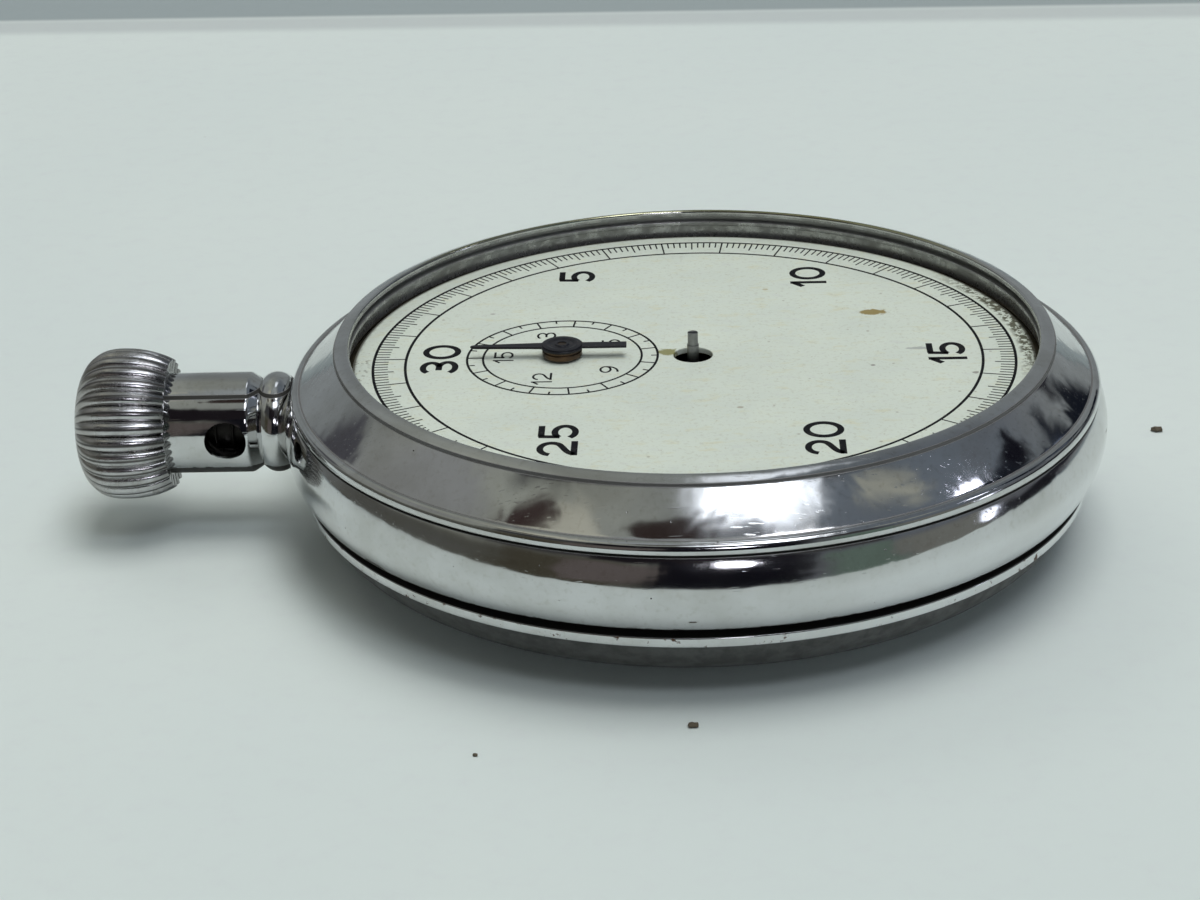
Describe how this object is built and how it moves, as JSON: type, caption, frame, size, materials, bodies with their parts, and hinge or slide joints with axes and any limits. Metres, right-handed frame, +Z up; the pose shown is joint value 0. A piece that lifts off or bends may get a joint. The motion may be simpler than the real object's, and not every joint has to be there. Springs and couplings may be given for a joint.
{
  "type": "mechanical stopwatch",
  "caption": "Crown-operated mechanical stopwatch in a chromed pocket case, with a seconds dial, a small minute counter and its full lever movement inside.",
  "frame": {"origin": "on the case axis, at the flat middle of the back, where the watch lies on a table", "axes": "+Z up out of the dial, -X towards the crown (12 o'clock), +Y towards 3 o'clock"},
  "size_m": [0.0698, 0.0554, 0.0142],
  "materials": {
    "chrome": "polished",
    "gilt_brass": "satin",
    "movement_steel": "brushed",
    "screw_steel": "polished",
    "black_hand": "satin",
    "dial_paint": "satin",
    "ruby": "gloss"
  },
  "bodies": {
    "case": {"case_band": "chrome", "bezel": "chrome", "back_cover": "chrome", "pendant_tube": "chrome", "crown_spring": "movement_steel", "main_plate": "gilt_brass", "rear_plate": "gilt_brass", "pillars": "gilt_brass", "pillar_screws": "screw_steel", "case_screws": "screw_steel", "plate_jewels": "ruby", "dial": "dial_paint", "balance_cock": "gilt_brass", "cock_screws": "screw_steel", "pivot_screws": "screw_steel", "click_spring": "movement_steel", "lever_spring": "movement_steel", "hammer_spring": "movement_steel", "column_jumper": "movement_steel", "rear_cock": "gilt_brass"},
    "pusher": {"crown_sleeve": "movement_steel"},
    "crown": {"crown": "chrome", "stem": "movement_steel"},
    "winding_pinion": {"winding_pinion": "movement_steel"},
    "crown_wheel": {"crown_wheel": "gilt_brass"},
    "ratchet": {"ratchet_wheel": "movement_steel", "barrel_arbor": "movement_steel", "ratchet_screw": "screw_steel"},
    "barrel": {"barrel_drum": "gilt_brass", "barrel_cover": "gilt_brass", "mainspring": "movement_steel"},
    "second_mobile": {"second_wheel": "gilt_brass", "second_pinion": "movement_steel"},
    "third_mobile": {"third_wheel": "gilt_brass", "third_pinion": "movement_steel"},
    "sweep": {"sweep_wheel": "gilt_brass", "sweep_arbor": "movement_steel", "sweep_heart": "movement_steel"},
    "escape_mobile": {"escape_wheel": "movement_steel", "escape_pinion": "movement_steel"},
    "pallet": {"pallet_lever": "movement_steel", "pallet_arbor": "movement_steel"},
    "balance": {"balance_wheel": "gilt_brass", "balance_screws": "movement_steel", "balance_staff": "movement_steel", "impulse_pin": "ruby", "hairspring": "movement_steel"},
    "regulator": {"regulator_index": "movement_steel"},
    "counter": {"counter_wheel": "gilt_brass"},
    "minute_counter": {"minute_wheel": "gilt_brass", "minute_arbor": "movement_steel", "minute_hub": "gilt_brass", "minute_hand": "black_hand", "minute_heart": "movement_steel"},
    "click": {"click": "movement_steel"},
    "column": {"column_wheel": "movement_steel"},
    "operating": {"operating_lever": "movement_steel"},
    "brake": {"brake_lever": "movement_steel"},
    "hammer": {"reset_hammer": "movement_steel"}
  },
  "joints": [
    {"name": "crown_push", "type": "slide", "parent": "case", "child": "pusher", "axis": [1, 0, 0], "range_m": [0, 0.0012], "stiffness_N_per_m": 1500, "deforming": ["crown_spring", "lever_spring"]},
    {"name": "crown_turn", "type": "hinge", "parent": "pusher", "child": "crown", "pos_m": [-0.037, 0, 0.00775], "axis": [1, 0, 0], "continuous": true},
    {"name": "winding_pinion_turn", "type": "hinge", "parent": "case", "child": "winding_pinion", "pos_m": [-0.018, 0, 0.00775], "axis": [1, 0, 0], "continuous": true},
    {"name": "crown_wheel_turn", "type": "hinge", "parent": "case", "child": "crown_wheel", "pos_m": [-0.01423, 0.00216, 0.0044], "axis": [0, 0, 1], "continuous": true},
    {"name": "ratchet_turn", "type": "hinge", "parent": "case", "child": "ratchet", "pos_m": [-0.0085, 0.0113, 0.0044], "axis": [0, 0, 1], "continuous": true},
    {"name": "sweep_turn", "type": "hinge", "parent": "case", "child": "sweep", "pos_m": [0, 0, 0.008], "axis": [0, 0, -1], "continuous": true},
    {"name": "third_turn", "type": "hinge", "parent": "case", "child": "third_mobile", "pos_m": [0.00393, 0.00469, 0.007], "axis": [0, 0, -1], "continuous": true},
    {"name": "second_turn", "type": "hinge", "parent": "case", "child": "second_mobile", "pos_m": [-0.00028, 0.00912, 0.007], "axis": [0, 0, -1], "continuous": true},
    {"name": "barrel_turn", "type": "hinge", "parent": "case", "child": "barrel", "pos_m": [-0.0085, 0.0113, 0.007], "axis": [0, 0, -1], "continuous": true},
    {"name": "escape_turn", "type": "hinge", "parent": "case", "child": "escape_mobile", "pos_m": [0.00469, -0.00328, 0.007], "axis": [0, 0, -1], "continuous": true},
    {"name": "counter_turn", "type": "hinge", "parent": "case", "child": "counter", "pos_m": [-0.00389, 0.00047, 0.0105], "axis": [0, 0, -1], "continuous": true},
    {"name": "minute_turn", "type": "hinge", "parent": "case", "child": "minute_counter", "pos_m": [-0.00882, 0, 0.011], "axis": [0, 0, -1], "continuous": true},
    {"name": "pallet_swing", "type": "hinge", "parent": "case", "child": "pallet", "pos_m": [0.00806, -0.00523, 0.008], "axis": [0, 0, 1], "range_deg": [-6, 6]},
    {"name": "balance_swing", "type": "hinge", "parent": "case", "child": "balance", "pos_m": [0.01159, -0.00819, 0.0035], "axis": [0, 0, 1], "range_deg": [-150, 150], "stiffness_Nm_per_rad": 0.000008, "deforming": ["hairspring"]},
    {"name": "regulator_turn", "type": "hinge", "parent": "case", "child": "regulator", "pos_m": [0.01159, -0.00819, 0.00145], "axis": [0, 0, 1], "range_deg": [-12, 12]},
    {"name": "click_lift", "type": "hinge", "parent": "case", "child": "click", "pos_m": [-0.00528, 0.01927, 0.0044], "axis": [0, 0, 1], "range_deg": [-8, 0], "stiffness_Nm_per_rad": 0.0002, "deforming": ["click_spring"]},
    {"name": "column_turn", "type": "hinge", "parent": "case", "child": "column", "pos_m": [-0.01, -0.0115, 0.004], "axis": [0, 0, 1], "continuous": true},
    {"name": "operating_swing", "type": "hinge", "parent": "case", "child": "operating", "pos_m": [-0.0182, -0.0085, 0.0044], "axis": [0, 0, 1], "range_deg": [-11, 0]},
    {"name": "brake_swing", "type": "hinge", "parent": "case", "child": "brake", "pos_m": [0.0002, -0.014, 0.0039], "axis": [0, 0, 1], "range_deg": [0, 4.6]},
    {"name": "hammer_swing", "type": "hinge", "parent": "case", "child": "hammer", "pos_m": [-0.004, -0.0155, 0.0031], "axis": [0, 0, 1], "range_deg": [0, 5.8], "deforming": ["hammer_spring"]}
  ],
  "couplings": [
    {"joint": "winding_pinion_turn", "follows": "crown_turn", "ratio": 1},
    {"joint": "crown_wheel_turn", "follows": "crown_turn", "ratio": -0.58065},
    {"joint": "ratchet_turn", "follows": "crown_turn", "ratio": 0.34615},
    {"joint": "third_turn", "follows": "sweep_turn", "ratio": -0.13333},
    {"joint": "second_turn", "follows": "sweep_turn", "ratio": 0.016667},
    {"joint": "barrel_turn", "follows": "sweep_turn", "ratio": -0.0022222},
    {"joint": "escape_turn", "follows": "sweep_turn", "ratio": -10},
    {"joint": "counter_turn", "follows": "sweep_turn", "ratio": -0.16667},
    {"joint": "minute_turn", "follows": "sweep_turn", "ratio": 0.033333},
    {"joint": "operating_swing", "follows": "crown_push", "rad_per_m": -151.94}
  ]
}
